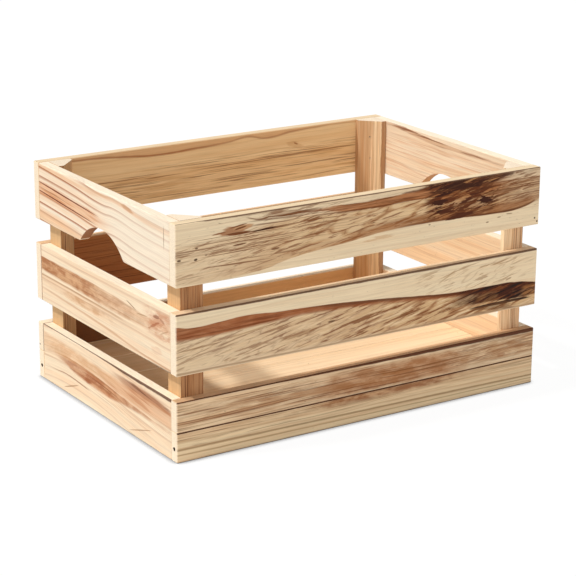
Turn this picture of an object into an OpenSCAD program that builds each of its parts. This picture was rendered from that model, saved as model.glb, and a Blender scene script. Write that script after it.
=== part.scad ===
// Slatted wooden storage crate: four corner posts, three courses of boards on each side, a boarded floor
// on three bearers, and a hand hole in the top board of each end.
// Origin: middle of the footprint, on the surface the crate stands on. X runs along the crate, -Y is its front.

/* [Crate] */
// Length over the long boards
crate_l = 460; // [380:5:600]
// Width over the front and back walls
crate_w = 312; // [250:2:400]

/* [Wall boards] */
// Height of one course of the wall
course_h = 65; // [55:0.5:90]
// Open gap between two courses
course_gap = 27.5; // [15:0.5:40]
// Thickness of the wall boards
board_t = 12; // [9:0.5:16]
// Height of the base board, the lower of the two that make up the lowest course of a long side
base_h = 32; // [24:0.5:38]
// Bevel on the edges of every board
edge_ease = 0.8; // [0.3:0.1:1.5]

/* [Corner posts] */
// Width of a post against each wall
post_leg = 26; // [20:0.5:36]
// Width of the two square edges beside the post's slanted inner face
post_return = 6; // [3:0.5:12]

/* [Hand holes] */
// Width of the arch, along the lower edge of the end's top board
grip_w = 97; // [80:1:120]
// Rise of the arch above that edge
grip_h = 24; // [16:0.5:32]
// Height of the flats that take off the two corners where the arch meets the edge
grip_ease = 2; // [1:0.5:4]

/* [Floor] */
// Thickness of the floor boards
floor_t = 10; // [7:0.5:14]
// Seam between two floor boards
floor_seam = 1; // [0.5:0.25:3]
// Clearance between the floor and the walls and posts
floor_fit = 1; // [0.5:0.25:2]
// Height of a bearer
bearer_h = 18; // [15:0.5:24]
// Width of a bearer
bearer_w = 20; // [14:0.5:30]
// Height of the bearers above the ground
bearer_lift = 4; // [1:0.5:6]

/* [Nails] */
// Diameter of the headless nails
nail_d = 1.8; // [1.2:0.1:2.4]
// Depth of a nail's end below the surface of the wood
nail_set = 1.5; // [1.2:0.1:2.5]
// Height of the nail from a post into a long board, as a share of that board's height
long_nail_at = 0.7; // [0.65:0.01:0.75]
// Height of the nail from a post into an end board, as a share of the long board's height beside it
end_nail_at = 0.3; // [0.25:0.01:0.35]
// Depth of a post's nail in the board behind it
post_bite = 8; // [5:0.5:8]
// Depth of a floor nail in the bearer
floor_bite = 12; // [6:0.5:13]
// Shift of the floor nails from the middle of their board towards the middle of the crate
floor_nail_in = 10; // [6:0.5:14]
// Depth of a bearer nail in the end's lowest board
bearer_bite = 7; // [3:0.5:7]

/* [End holes] */
// Diameter of the blind hole in each end of the long base boards
peg_d = 4; // [2:0.5:5]
// Depth of that hole
peg_deep = 10; // [5:1:20]
// Height of that hole above the ground
peg_z = 14; // [13:0.5:16]

/* [Hidden] */

$fn = 48;

// The two signs of each direction
LEFT = -1;
RIGHT = 1;
FRONT = -1;
BACK = 1;

// Boards of a long side from the ground up: the base and lower boards share the lowest course
BASE = 0;
LOWER = 1;
MIDDLE = 2;
TOP = 3;
COURSES = [BASE, LOWER, MIDDLE, TOP];
pitch = course_h + course_gap;
board_z = [0, base_h, pitch, 2 * pitch];
board_h = [base_h, course_h - base_h, course_h, course_h];
crate_h = board_z[TOP] + board_h[TOP];

// Each board of an end faces the boards of the long sides at its own height
function faced(course) = course == LOWER ? [BASE, LOWER] : [course];

// Half sizes to the middle of the walls, and the clear inside
wall_x = (crate_l - board_t) / 2;
wall_y = (crate_w - board_t) / 2;
inner_x = crate_l / 2 - board_t;
inner_y = crate_w / 2 - board_t;

// The arch is part of one circle, whose middle lies below the board's edge
grip_r = (pow(grip_w / 2, 2) + pow(grip_h, 2)) / (2 * grip_h);
grip_drop = grip_r - grip_h;

// Floor boards run lengthwise, numbered from the front
FLOOR_COUNT = 5;
floor_pitch = (2 * (inner_y - floor_fit) + floor_seam) / FLOOR_COUNT;
floor_board_w = floor_pitch - floor_seam;
floor_z = bearer_lift + bearer_h;

// Middle lines of the three bearers
bearer_x = [-(inner_x - floor_fit - bearer_w / 2), 0, inner_x - floor_fit - bearer_w / 2];

// Distance of the middle of a post's slanted face from each of the two walls
post_mid = (post_leg + post_return) / 2;

// A cut runs this far past the surface that it opens
cut_past = 1;

PALE = [0.90, 0.79, 0.61];
WARM = [0.84, 0.68, 0.47];
DEEP = [0.76, 0.57, 0.36];
STEEL = [0.55, 0.55, 0.56];

function floor_y(i) = (i - (FLOOR_COUNT + 1) / 2) * floor_pitch;

// A rectangle about the origin with bevelled corners
module eased_rect(w, h) {
    x = w / 2;
    y = h / 2;
    e = edge_ease;
    polygon([
        [-x + e, -y], [x - e, -y], [x, -y + e], [x, y - e],
        [x - e, y], [-x + e, y], [-x, y - e], [-x, -y + e]
    ]);
}

// A sawn board with all its edges bevelled, standing on z = 0 and centred in x and y
module eased_board(l, w, h) {
    translate([0, 0, h / 2]) intersection() {
        linear_extrude(h, center = true) eased_rect(l, w);
        rotate([90, 0, 0]) linear_extrude(w, center = true) eased_rect(l, h);
        rotate([90, 0, 90]) linear_extrude(l, center = true) eased_rect(w, h);
    }
}

// A nail that goes up +Z from the origin, or the hole that it is driven into
module nail(l, hole) {
    past = hole ? nail_set + nail_d / 2 + cut_past : 0;
    translate([0, 0, -past]) cylinder(d = nail_d, h = l + past);
}

// Places one nail in the slanted face of each post for each board of the long sides
module at_posts(courses, share) {
    for (course = courses, end = [LEFT, RIGHT], side = [FRONT, BACK])
        translate([
            end * (inner_x - post_mid),
            side * (inner_y - post_mid),
            board_z[course] + share * board_h[course]
        ])
            mirror([end > 0 ? 0 : 1, 0, 0])
                mirror([0, side > 0 ? 0 : 1, 0])
                    children();
}

// Nails from the posts into the long boards
module long_board_nails(courses, hole) {
    at_posts(courses, long_nail_at)
        rotate([-90, 0, 0])
            translate([0, 0, nail_set])
                nail(post_mid - nail_set + post_bite, hole);
}

// Nails from the posts into the end boards
module end_board_nails(courses, hole) {
    at_posts(courses, end_nail_at)
        rotate([0, 90, 0])
            translate([0, 0, nail_set])
                nail(post_mid - nail_set + post_bite, hole);
}

// Nails down through the floor boards into the bearers
module floor_nails(hole) {
    for (i = [1:FLOOR_COUNT], x = bearer_x)
        translate([x, floor_y(i) - sign(floor_y(i)) * floor_nail_in, floor_z + floor_t - nail_set])
            rotate([180, 0, 0])
                nail(floor_t - nail_set + floor_bite, hole);
}

// Nails through the two end bearers into the ends' lowest boards, one under each floor seam
module bearer_nails(hole) {
    for (i = [1:FLOOR_COUNT - 1], end = [LEFT, RIGHT])
        translate([
            end * (inner_x - floor_fit - bearer_w + nail_set),
            floor_y(i) + floor_pitch / 2,
            bearer_lift + bearer_h / 2
        ])
            rotate([0, end * 90, 0])
                nail(bearer_w + floor_fit - nail_set + bearer_bite, hole);
}

// Section of a post in the corner of the walls, grown by a clearance on its inner faces
module post_section(clear = 0) {
    leg = post_leg + clear;
    edge = post_return + clear;
    polygon([[0, 0], [leg, 0], [leg, edge], [edge, leg], [0, leg]]);
}

// Places a post's section in one corner, its legs running inwards
module in_corner(end, side) {
    translate([end * inner_x, side * inner_y])
        mirror([end > 0 ? 1 : 0, 0])
            mirror([0, side > 0 ? 1 : 0])
                children();
}

module post(end, side) {
    color(WARM) difference() {
        linear_extrude(crate_h) in_corner(end, side) post_section();
        long_board_nails(COURSES, true);
        end_board_nails(COURSES, true);
    }
}

// A board of the front or back wall, as long as the crate
module long_board(side, course) {
    color(course == MIDDLE ? DEEP : PALE) difference() {
        translate([0, side * wall_y, board_z[course]]) eased_board(crate_l, board_t, board_h[course]);
        long_board_nails([course], true);
        if (course == BASE) peg_holes(side);
    }
}

// Blind holes in the two end faces of a long base board
module peg_holes(side) {
    for (end = [LEFT, RIGHT])
        translate([end * (crate_l / 2 - peg_deep), side * wall_y, peg_z])
            rotate([0, end * 90, 0])
                cylinder(d = peg_d, h = peg_deep + cut_past);
}

// A board of the left or right wall, held between the long boards; its lowest course is one board
module end_board(end, course) {
    low_z = board_z[faced(course)[0]];
    color(course == LOWER ? DEEP : PALE) difference() {
        translate([end * wall_x, 0, low_z]) eased_board(board_t, 2 * inner_y, course_h);
        end_board_nails(faced(course), true);
        if (course == LOWER) bearer_nails(true);
        if (course == TOP) grip_cut(end);
    }
}

// The hand hole: an arch cut up from the lower edge, its two corners taken off
module grip_cut(end) {
    translate([end * wall_x, 0, board_z[TOP]])
        rotate([90, 0, 90])
            linear_extrude(board_t + 2 * cut_past, center = true)
                grip_outline();
}

module grip_outline() {
    // A flat runs from the board's edge up to the arch, and a little past both
    foot = [grip_w / 2 + grip_ease, 0];
    head = [sqrt(pow(grip_r, 2) - pow(grip_drop + grip_ease, 2)), grip_ease];
    low = foot - (head - foot) * cut_past / grip_ease;
    high = head + (head - foot) * cut_past / grip_ease;
    translate([0, -grip_drop]) circle(r = grip_r, $fn = 96);
    for (m = [0, 1])
        mirror([m, 0]) polygon([[0, low[1]], low, high, [0, high[1]]]);
}

// A lengthwise floor board, the two outer ones notched round the posts
module floor_board(i) {
    color(i % 2 == 1 ? WARM : PALE) difference() {
        translate([0, floor_y(i), floor_z])
            eased_board(2 * (inner_x - floor_fit), floor_board_w, floor_t);
        for (end = [LEFT, RIGHT], side = [FRONT, BACK])
            translate([0, 0, floor_z - cut_past])
                linear_extrude(floor_t + 2 * cut_past)
                    in_corner(end, side) post_section(floor_fit);
        floor_nails(true);
    }
}

// A bearer across the crate: the end ones stop at the posts, the middle one reaches both walls
module bearer(i) {
    is_end = bearer_x[i] != 0;
    l = 2 * (inner_y - floor_fit - (is_end ? post_leg : 0));
    color(DEEP) difference() {
        translate([bearer_x[i], 0, bearer_lift]) eased_board(bearer_w, l, bearer_h);
        floor_nails(true);
        if (is_end) bearer_nails(true);
    }
}

module nails_long_boards() color(STEEL) long_board_nails(COURSES, false);
module nails_end_boards() color(STEEL) end_board_nails(COURSES, false);
module nails_floor() color(STEEL) floor_nails(false);
module nails_bearers() color(STEEL) bearer_nails(false);

post(LEFT, FRONT);  // post_front_left
post(RIGHT, FRONT);  // post_front_right
post(LEFT, BACK);  // post_back_left
post(RIGHT, BACK);  // post_back_right
long_board(FRONT, BASE);  // front_board_base
long_board(FRONT, LOWER);  // front_board_lower
long_board(FRONT, MIDDLE);  // front_board_middle
long_board(FRONT, TOP);  // front_board_top
long_board(BACK, BASE);  // back_board_base
long_board(BACK, LOWER);  // back_board_lower
long_board(BACK, MIDDLE);  // back_board_middle
long_board(BACK, TOP);  // back_board_top
end_board(LEFT, LOWER);  // left_board_lower
end_board(LEFT, MIDDLE);  // left_board_middle
end_board(LEFT, TOP);  // left_board_top
end_board(RIGHT, LOWER);  // right_board_lower
end_board(RIGHT, MIDDLE);  // right_board_middle
end_board(RIGHT, TOP);  // right_board_top
floor_board(1);  // floor_board_1
floor_board(2);  // floor_board_2
floor_board(3);  // floor_board_3
floor_board(4);  // floor_board_4
floor_board(5);  // floor_board_5
bearer(0);  // bearer_left
bearer(1);  // bearer_middle
bearer(2);  // bearer_right
nails_long_boards();
nails_end_boards();
nails_floor();
nails_bearers();
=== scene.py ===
"""Dresses a slatted pine crate: bare planed softwood with brown heartwood, scorched on the outside."""

import math

import bpy
from bpy.props import FloatProperty, FloatVectorProperty, PointerProperty
from mathutils import Euler, Matrix, Vector


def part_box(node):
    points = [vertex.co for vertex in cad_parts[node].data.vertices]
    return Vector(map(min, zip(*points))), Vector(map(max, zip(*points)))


bl_info = {
    "name": "Pine Crate Dresser",
    "version": (1, 0, 0),
    "blender": (4, 5, 0),
    "location": "3D View > Sidebar > Crate",
    "description": "Gives a slatted pine crate its wood and nail finishes, and sets up its stage",
    "category": "Material",
}

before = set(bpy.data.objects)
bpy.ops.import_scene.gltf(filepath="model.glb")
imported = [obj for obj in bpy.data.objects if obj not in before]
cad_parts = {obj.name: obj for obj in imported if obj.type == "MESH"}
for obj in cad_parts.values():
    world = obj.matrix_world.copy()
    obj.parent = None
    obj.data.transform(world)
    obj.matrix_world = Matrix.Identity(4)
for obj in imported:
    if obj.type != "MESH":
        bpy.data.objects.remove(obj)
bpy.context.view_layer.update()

# Sizes in this file are millimetres, and Blender's are metres
MM = 1000.0

# Bands and marks are only in the skin of a board: in full down to the first depth, and gone at the second
SKIN = (0.8, 1.6)
# The sawn arch of a hand hole lies between these heights above its board's lower edge
ARCH_FOOT, ARCH_TOP = 1.5, 26.0
# The growth rings bow through the board's thickness, by w squared over this
RING_BOW = 60.0
# The size of a mark or a bore in the directions in which it has no end
ENDLESS = 1e5

# Colours of the planed edges where a board has none of its own, of all sawn ends, of arrises, some of which
# are painted shade, and of the painted shade inside bores
RIM_TONE, END_TONE, ARRIS_TONE, BORE_SHADE_TONE = "#FFF1DA", "#FBEBD4", "#54280F", "#1C0E08"

# The camera looks from the front left, a little above the rim, and is turned by under half a degree
VIEW_ANGLES = {"azimuth": -33.0, "elevation": 17.27, "roll": 0.43}
VIEW_TARGET = (2.97, 0, 106.9)
VIEW_DISTANCE = 2251.5
# The lights are a little warm
SUNLIGHT = (1.0, 0.97, 0.92)

# The setting of a range that fades in and out softly
SMOOTH = {"interpolation_type": "SMOOTHSTEP"}

# How a board lies: the turn that brings its grain onto u, its thickness onto w and its width onto v,
# each wall seen from outside with u running to the right
TURNS = {
    "front": (0, 0, 0),
    "back": (0, 0, math.pi),
    "left": (0, 0, math.pi / 2),
    "right": (0, 0, -math.pi / 2),
    "upright": (0, math.pi / 2, 0),
    "flat": (math.pi / 2, 0, 0),
}


def linear(code):
    """Linear RGBA of an sRGB hex colour such as #E8CFA4."""
    channels = [int(code[i:i + 2], 16) / 255 for i in (1, 3, 5)]
    return tuple(c / 12.92 if c <= 0.04045 else ((c + 0.055) / 1.055) ** 2.4 for c in channels) + (1.0,)


def add(tree, kind, links=None, out=0, **settings):
    """Adds a node with its settings, links or sets its inputs by name or number, and returns one output."""
    node = tree.nodes.new(kind)
    for name, value in settings.items():
        setattr(node, name, value)
    for key, source in (links or {}).items():
        if isinstance(source, bpy.types.NodeSocket):
            tree.links.new(source, node.inputs[key])
        else:
            node.inputs[key].default_value = source
    return None if out is None else node.outputs[out]


class CrateWood(bpy.types.PropertyGroup):
    """Colours of the pine."""
    sapwood: FloatVectorProperty(
        name="Sapwood", description="Pale outer wood of the log",
        subtype="COLOR", size=4, min=0, max=1, default=linear("#F0DDBC"))
    warmwood: FloatVectorProperty(
        name="Warm wood", description="Peach streaks in the pale wood",
        subtype="COLOR", size=4, min=0, max=1, default=linear("#E9C49A"))
    heartwood: FloatVectorProperty(
        name="Heartwood", description="Brown inner wood of the log",
        subtype="COLOR", size=4, min=0, max=1, default=linear("#A3663A"))
    scorch: FloatVectorProperty(
        name="Scorch", description="Wood darkened by a flame",
        subtype="COLOR", size=4, min=0, max=1, default=linear("#2E140A"))
    roughness: FloatProperty(
        name="Roughness", description="Roughness of planed bare wood",
        min=0, max=1, default=0.75, subtype="FACTOR")


class CrateStage(bpy.types.PropertyGroup):
    """Light and camera."""
    high: FloatProperty(
        name="High light", description="Strength of the light from above and left",
        min=0, max=10, default=0.8)
    side: FloatProperty(
        name="Side light", description="Strength of the lower light from the left",
        min=0, max=10, default=1.65)
    fill: FloatProperty(
        name="Fill light", description="Strength of the broad light from the front",
        min=0, max=10, default=0.9)
    sky: FloatProperty(
        name="Soft light", description="Strength of the even light from all around",
        min=0, max=3, default=0.38)
    lens: FloatProperty(
        name="Lens", description="Focal length of the camera, in millimetres",
        min=10, max=300, default=126.03, unit="CAMERA")


def drawn(tree, along, length, points, low=0.0, high=1.0):
    """A value from low to high, drawn along a board through points (distance, value), or one level number."""
    if not isinstance(points, list):
        return points
    part = add(tree, "ShaderNodeMapRange", {0: along, 2: length})
    line = add(tree, "ShaderNodeFloatCurve", {"Value": part})
    curve = line.node.mapping.curves[0]
    spots = [(u / length, (value - low) / (high - low)) for u, value in points]
    curve.points[0].location = spots[0]
    curve.points[1].location = spots[-1]
    for spot in spots[1:-1]:
        curve.points.new(*spot)
    line.node.mapping.update()
    return add(tree, "ShaderNodeMapRange", {0: line, 3: low, 4: high}, clamp=False)


def figure(tree, at, sizes, tilt=0.0, seed=0.0, detail=2.0, rough=0.5, bend=0.0):
    """Wood figure as noise. Its features are about sizes long, thick and wide, and rise by tilt degrees."""
    place = add(tree, "ShaderNodeMapping", {
        0: at, 1: (seed * 37, seed * 11, seed * 53), 2: (0, -math.radians(tilt), 0), 3: sizes,
    }, vector_type="TEXTURE")
    return add(tree, "ShaderNodeTexNoise", {0: place, 2: 1.0, 3: detail, 4: rough, "Distortion": bend})


def lay(tree, tone, colour, *masks):
    """Lays a colour over a tone, as strongly as all the masks together let it."""
    cover = masks[0]
    for mask in masks[1:]:
        cover = add(tree, "ShaderNodeMath", {0: cover, 1: mask}, operation="MULTIPLY")
    return add(tree, "ShaderNodeMix", {0: cover, 6: tone, 7: colour}, out=2, data_type="RGBA")


def between(tree, height, top, foot, soft):
    """1 where a height lies between two lines, fading over soft[0] mm at the top and soft[1] at the foot."""
    under = add(tree, "ShaderNodeMath", {0: top, 1: height}, operation="SUBTRACT")
    under = add(tree, "ShaderNodeMapRange", {0: under, 1: -soft[0] / 2, 2: soft[0] / 2}, **SMOOTH)
    above = add(tree, "ShaderNodeMath", {0: height, 1: foot}, operation="SUBTRACT")
    above = add(tree, "ShaderNodeMapRange", {0: above, 1: -soft[1] / 2, 2: soft[1] / 2}, **SMOOTH)
    return add(tree, "ShaderNodeMath", {0: under, 1: above}, operation="MULTIPLY")


def camera_sees(tree):
    """1 for a ray that ends in the picture, straight or by way of gloss or glass, and 0 for other light."""
    ray = add(tree, "ShaderNodeLightPath").node.outputs
    straight, gloss, glass = (ray[f"Is {way} Ray"] for way in ("Camera", "Glossy", "Transmission"))
    seen = add(tree, "ShaderNodeMath", {0: straight, 1: gloss}, operation="MAXIMUM")
    return add(tree, "ShaderNodeMath", {0: seen, 1: glass}, operation="MAXIMUM")


# The patterns that a band may show, each as noise between two levels: its sizes along, through and across
# the board, its tilt as a share of the flames' tilt, what is added to the seed, detail, roughness,
# distortion, and the levels. Threads and streaks are thin and broad dark lines along the grain, and blotches
# are soft patches. Strokes and cuts are short dark and pale lines that rise to the right like the flames,
# and char is burnt flakes. The flames' pale hearts and dark rims have the sizes of the board's own flames.
PATTERNS = {
    "threads": ((90, 8, 1.3), 0.0, 7, 2.5, 0.6, 0.0, 0.52, 0.64),
    "streaks": ((70, 10, 3.4), 0.0, 7, 2.5, 0.6, 0.0, 0.46, 0.66),
    "blotch": ((20, 8, 7), 0.0, 6, 4.0, 0.62, 0.0, 0.36, 0.62),
    "strokes": ((38, 10, 2.8), 0.7, 8, 3.5, 0.6, 0.15, 0.54, 0.6),
    "cuts": ((38, 10, 2.8), 0.7, 8, 3.5, 0.6, 0.15, 0.46, 0.37),
    "char": ((24, 8, 5), 1.0, 4, 4.5, 0.65, 0.3, 0.44, 0.52),
    "hearts": (None, 1.0, 6, 1.8, 0.5, 0.25, 0.14, 0.34),
    "rims": (None, 1.0, 6, 1.8, 0.5, 0.25, 0.11, 0.01),
}


def pattern(tree, kind, at, grained, seed, look):
    """A mask in one of the PATTERNS. Flames lie one in the other, where the saw ran through curly grain."""
    sizes, share, shift, detail, rough, bend, low, high = PATTERNS[kind]
    tilt, flames, folds = look.get("flames", (12.0, (60, 20, 14), 6.0))
    place = at if share else grained
    noise = figure(tree, place, sizes or flames, share * tilt, seed + shift, detail, rough, bend)
    if not sizes:
        noise = add(tree, "ShaderNodeMath", {0: noise, 1: folds}, operation="MULTIPLY")
        noise = add(tree, "ShaderNodeMath", {0: noise, 1: 0.5}, operation="PINGPONG")
    return add(tree, "ShaderNodeMapRange", {0: noise, 1: low, 2: high}, **SMOOTH)


def pine(name, lie, corner, size, look):
    """Planed pine, bare: a dull pale wood whose dark growth rings run along it and bow through its thickness.

    lie is a key of TURNS, corner is where u, v and w are 0, and size is the board's length, width and
    thickness, in millimetres. look holds what is special to this board; see BOARDS.
    """
    wood = bpy.context.scene.crate_wood
    material = bpy.data.materials.new(name)
    material.use_nodes = True
    tree = material.node_tree
    tree.nodes.clear()
    length, height, thickness = size
    seed = look.get("seed", 1.0)

    # Board coordinates in millimetres
    turn = TURNS[lie]
    shift = -(Euler(turn).to_matrix() @ Vector(corner))
    place = add(tree, "ShaderNodeTexCoord", out="Object")
    at = add(tree, "ShaderNodeMapping", {0: place, 1: shift, 2: turn, 3: (MM, MM, MM)})
    u, w, v = add(tree, "ShaderNodeSeparateXYZ", {0: at}).node.outputs

    # Which way the surface faces: along the board at its ends, across it at its edges
    facing = add(tree, "ShaderNodeTexCoord", out="Normal")
    facing = add(tree, "ShaderNodeVectorRotate", {0: facing, 4: turn}, rotation_type="EULER_XYZ")
    facing = add(tree, "ShaderNodeVectorMath", {0: facing}, operation="ABSOLUTE")
    facing = add(tree, "ShaderNodeSeparateXYZ", {0: facing}).node
    end = add(tree, "ShaderNodeMapRange", {0: facing.outputs[0], 1: 0.6, 2: 0.9})
    rim = add(tree, "ShaderNodeMapRange", {0: facing.outputs[2], 1: 0.6, 2: 0.9})
    full, gone = (thickness - depth for depth in SKIN) if look.get("inside") else SKIN
    skin = 1.0 if look.get("whole") else add(tree, "ShaderNodeMapRange", {0: w, 1: gone, 2: full})

    # The grain wanders a little, and where the board has a course of its own it follows that
    drift = figure(tree, at, (140, 60, 40), seed=seed, detail=1)
    wander = look.get("wander", 3.0)
    drift = add(tree, "ShaderNodeMapRange", {0: drift, 3: -wander, 4: wander})
    across = add(tree, "ShaderNodeMath", {0: v, 1: drift}, operation="ADD")
    if "grain" in look:
        line = drawn(tree, u, length, look["grain"], -height, height)
        across = add(tree, "ShaderNodeMath", {0: across, 1: line}, operation="SUBTRACT")
    arc = add(tree, "ShaderNodeMath", {0: w, 1: 2.0}, operation="POWER")
    across = add(tree, "ShaderNodeMath", {0: arc, 1: 1 / RING_BOW, 2: across}, operation="MULTIPLY_ADD")
    grained = add(tree, "ShaderNodeCombineXYZ", {0: u, 1: w, 2: across})

    # Pale wood with broad warm streaks
    streak = figure(tree, grained, (260, 30, 9), seed=seed + 1, detail=3, rough=0.6)
    warmth = add(tree, "ShaderNodeMapRange", {0: streak, 1: 0.3, 2: 0.7, 4: look.get("warmth", 0.6)})
    warm_along = drawn(tree, u, length, look["warm_along"]) if "warm_along" in look else 1.0
    pale = linear(look["pale"]) if "pale" in look else tuple(wood.sapwood)
    warm = linear(look["warm"]) if "warm" in look else tuple(wood.warmwood)
    tone = lay(tree, pale, warm, warmth, warm_along)

    # Growth rings: each has a sharp dark late edge, and some are stronger than others
    spacing, depth = look.get("rings", (7.0, 0.35))
    jitter = figure(tree, grained, (400, 40, 14), seed=seed + 3, detail=1)
    count = look.get("ring_shift", 0.0)
    count = add(tree, "ShaderNodeMath", {0: across, 1: 1 / spacing, 2: count}, operation="MULTIPLY_ADD")
    uneven = look.get("uneven", 0.9)
    count = add(tree, "ShaderNodeMath", {0: jitter, 1: uneven, 2: count}, operation="MULTIPLY_ADD")
    part = add(tree, "ShaderNodeMath", {0: count}, operation="FRACT")
    number = add(tree, "ShaderNodeMath", {0: count}, operation="FLOOR")
    force = add(tree, "ShaderNodeTexWhiteNoise", {"W": number}, noise_dimensions="1D")
    force = add(tree, "ShaderNodeMapRange", {0: force, 3: 0.35, 4: 1.0})
    late = 1 - look.get("late", 3.2) / spacing
    rise = add(tree, "ShaderNodeMapRange", {0: part, 1: late, 2: 0.93}, **SMOOTH)
    fall = add(tree, "ShaderNodeMapRange", {0: part, 1: 1.0, 2: 0.94}, **SMOOTH)
    ring = add(tree, "ShaderNodeMath", {0: rise, 1: fall}, operation="MULTIPLY")
    ring_along = drawn(tree, u, length, look["ring_along"]) if "ring_along" in look else 1.0
    ring_tone = linear(look["ring_tone"]) if "ring_tone" in look else tuple(wood.heartwood)
    tone = lay(tree, tone, ring_tone, ring, depth, force, ring_along)

    # Patches of colour, each between two lines drawn on the board's face
    ragged = figure(tree, grained, (30, 8, 3), seed=seed + 4, detail=3, rough=0.65)
    ragged = add(tree, "ShaderNodeMath", {0: ragged, 1: 0.5}, operation="SUBTRACT")
    shown = {"plain": 1.0}
    for band in look.get("bands", ()):
        top = drawn(tree, u, length, band.get("top", 2 * height), -height, 2 * height)
        foot = drawn(tree, u, length, band.get("foot", -height), -height, 2 * height)
        stray = band.get("ragged", 4.0)
        edge = add(tree, "ShaderNodeMath", {0: ragged, 1: stray, 2: v}, operation="MULTIPLY_ADD")
        mask = between(tree, edge, top, foot, band.get("soft", (2.0, 2.0)))
        along = drawn(tree, u, length, band["along"]) if "along" in band else 1.0
        for kind, colour, strength in band["layers"]:
            if kind not in shown:
                shown[kind] = pattern(tree, kind, at, grained, seed, look)
            tone = lay(tree, tone, linear(colour), mask, skin, along, strength, shown[kind])

    # Marks: knots, pitch lines and scorched spots, each an ellipse with a ragged rim
    for mark_u, mark_v, half_u, half_v, tilt, strength, rough_rim, colour in look.get("marks", ()):
        spot = add(tree, "ShaderNodeMapping", {
            0: at, 1: (mark_u, 0, mark_v), 2: (0, -math.radians(tilt), 0), 3: (half_u, ENDLESS, half_v),
        }, vector_type="TEXTURE")
        away = add(tree, "ShaderNodeVectorMath", {0: spot}, out="Value", operation="LENGTH")
        away = add(tree, "ShaderNodeMath", {0: ragged, 1: rough_rim, 2: away}, operation="MULTIPLY_ADD")
        mask = add(tree, "ShaderNodeMapRange", {0: away, 1: 1.05, 2: 0.7}, **SMOOTH)
        tone = lay(tree, tone, linear(colour), mask, skin, strength)

    # Short dark pores
    pore = figure(tree, grained, (7, 2, 0.9), seed=seed + 7, detail=1)
    pore = add(tree, "ShaderNodeMapRange", {0: pore, 1: 0.74, 2: 0.8}, **SMOOTH)
    tone = lay(tree, tone, tuple(wood.scorch), pore, look.get("pores", 0.35))

    # Planed edges show clean pale wood, and sawn ends a dull even cream
    rim_strength = 0.85 if "rim" in look or not look.get("whole") else 0.0
    tone = lay(tree, tone, linear(look.get("rim", RIM_TONE)), rim, rim_strength)
    tone = lay(tree, tone, linear(END_TONE), end, 0.88)

    # The sawn arch of a hand hole is browner than the planed faces; on the left end this brown is painted
    # shade, as its cut face lies in shadow
    if "sawn" in look:
        sawn = add(tree, "ShaderNodeMapRange", {0: facing.outputs[1], 1: 0.7, 2: 0.4})
        inner = between(tree, v, ARCH_TOP, ARCH_FOOT, (1.0, 1.0))
        tone = lay(tree, tone, linear(look["sawn"]), sawn, inner, 0.9)

    # Dark lines along an edge: scorched arrises and lines where two boards meet, and along the bottom edges
    # of the front base and left lower boards, painted shade where they stand on the floor
    for edge_v, reach, strength in look.get("arrises", ()):
        gap = add(tree, "ShaderNodeMath", {0: v, 1: edge_v}, operation="SUBTRACT")
        gap = add(tree, "ShaderNodeMath", {0: gap}, operation="ABSOLUTE")
        thick = drawn(tree, u, length, reach, 0.0, 8.0)
        gap = add(tree, "ShaderNodeMath", {0: gap, 1: thick}, operation="DIVIDE")
        gap = add(tree, "ShaderNodeMath", {0: ragged, 1: 0.8, 2: gap}, operation="MULTIPLY_ADD")
        mask = add(tree, "ShaderNodeMapRange", {0: gap, 1: 1.1, 2: 0.6}, **SMOOTH)
        tone = lay(tree, tone, linear(ARRIS_TONE), mask, skin, strength)

    # Bores along the board are painted black inside: painted shade in the hole
    for bore_w, bore_v, radius in look.get("bores", ()):
        spot = add(tree, "ShaderNodeMapping", {
            0: at, 1: (0, bore_w, bore_v), 3: (ENDLESS, radius, radius),
        }, vector_type="TEXTURE")
        away = add(tree, "ShaderNodeVectorMath", {0: spot}, out="Value", operation="LENGTH")
        mask = add(tree, "ShaderNodeMapRange", {0: away, 1: 1.15, 2: 1.0})
        tone = lay(tree, tone, linear(BORE_SHADE_TONE), mask, 0.9)

    # Fine fibres, a little lighter and darker, which also lie a little proud
    fibre = figure(tree, grained, (45, 3, 0.7), seed=seed + 2, detail=2, rough=0.7)
    shade = add(tree, "ShaderNodeMapRange", {0: fibre, 1: 0.25, 2: 0.75, 3: 0.85, 4: 1.06})
    tone = add(tree, "ShaderNodeVectorMath", {0: tone, "Scale": shade}, operation="SCALE")
    relief = add(tree, "ShaderNodeMath", {0: ring, 1: 0.5, 2: fibre}, operation="MULTIPLY_ADD")
    bump = add(tree, "ShaderNodeBump", {0: 0.35, 1: 0.0003, 3: relief})
    surface = add(tree, "ShaderNodeBsdfPrincipled", {
        "Base Color": tone, "Roughness": wood.roughness, "Specular IOR Level": 0.2, "Normal": bump,
    })
    add(tree, "ShaderNodeOutputMaterial", {0: surface}, out=None)
    return material


# Lines and woods that several bands or boards share, with the keys that are explained below
SWEEP_FOOT = [(0, 2), (100, 4), (130, 10), (160, 14), (200, 17), (255, 22.5), (340, 23), (390, 21),
              (430, 21.5), (460, 30)]
CURLY = {"top": [(0, 38), (100, 40), (200, 42), (250, 39), (300, 34), (350, 31), (430, 30), (460, 26)],
         "foot": [(0, 6), (100, 5), (200, 4), (300, 3), (460, 3)], "soft": (2, 6), "ragged": 2.0}
BACK_WOOD = {"warmth": 0.7, "pale": "#EFD0A2", "warm": "#DDB27E"}
LEFT_WOOD = {"pale": "#F6E6CC", "warm": "#F0C8A2", "ring_tone": "#A86A40"}
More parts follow.
